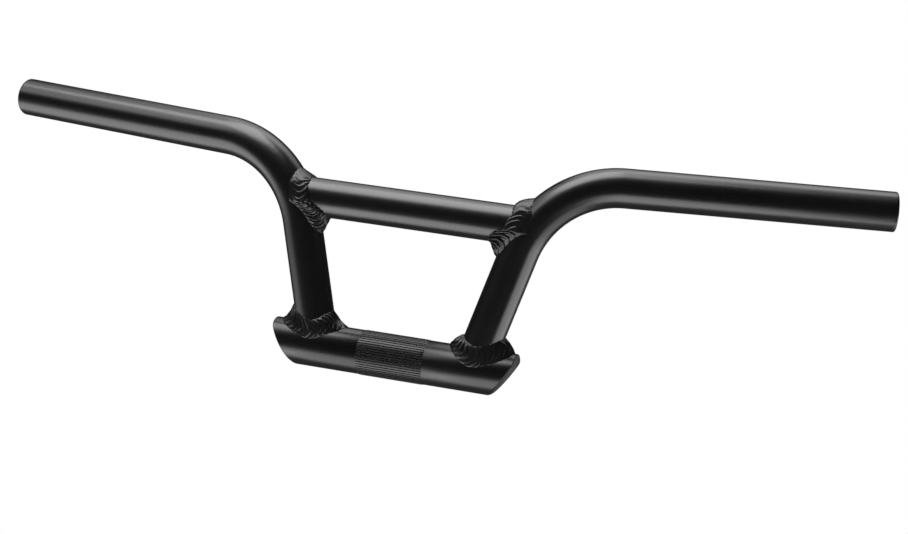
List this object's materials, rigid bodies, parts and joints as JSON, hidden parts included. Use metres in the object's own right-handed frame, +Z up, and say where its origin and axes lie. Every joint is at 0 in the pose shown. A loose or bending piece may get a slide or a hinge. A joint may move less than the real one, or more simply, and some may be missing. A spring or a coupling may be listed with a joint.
{
  "type": "bmx handlebar",
  "caption": "Small BMX handlebar of welded black aluminium tube: risers bent out into swept-back grips, a crossbar, and a short knurled clamp tube with slanted closed ends.",
  "frame": {"origin": "middle of the clamp tube, on its axis, where the stem holds the bar", "axes": "+X along the clamp tube to the rider's left, +Y back towards the rider, +Z up along the rise of the bar"},
  "size_m": [0.5282, 0.0614, 0.1416],
  "materials": {
    "tube": "satin black anodised tube",
    "weld": "satin black over rippled weld bead"
  },
  "bodies": {
    "root": {"clamp_tube": "tube", "left_end_plate": "tube", "right_end_plate": "tube", "left_riser_tube": "tube", "right_riser_tube": "tube", "crossbar": "tube", "left_clamp_weld": "weld", "right_clamp_weld": "weld", "left_crossbar_weld": "weld", "right_crossbar_weld": "weld"}
  },
  "joints": []
}
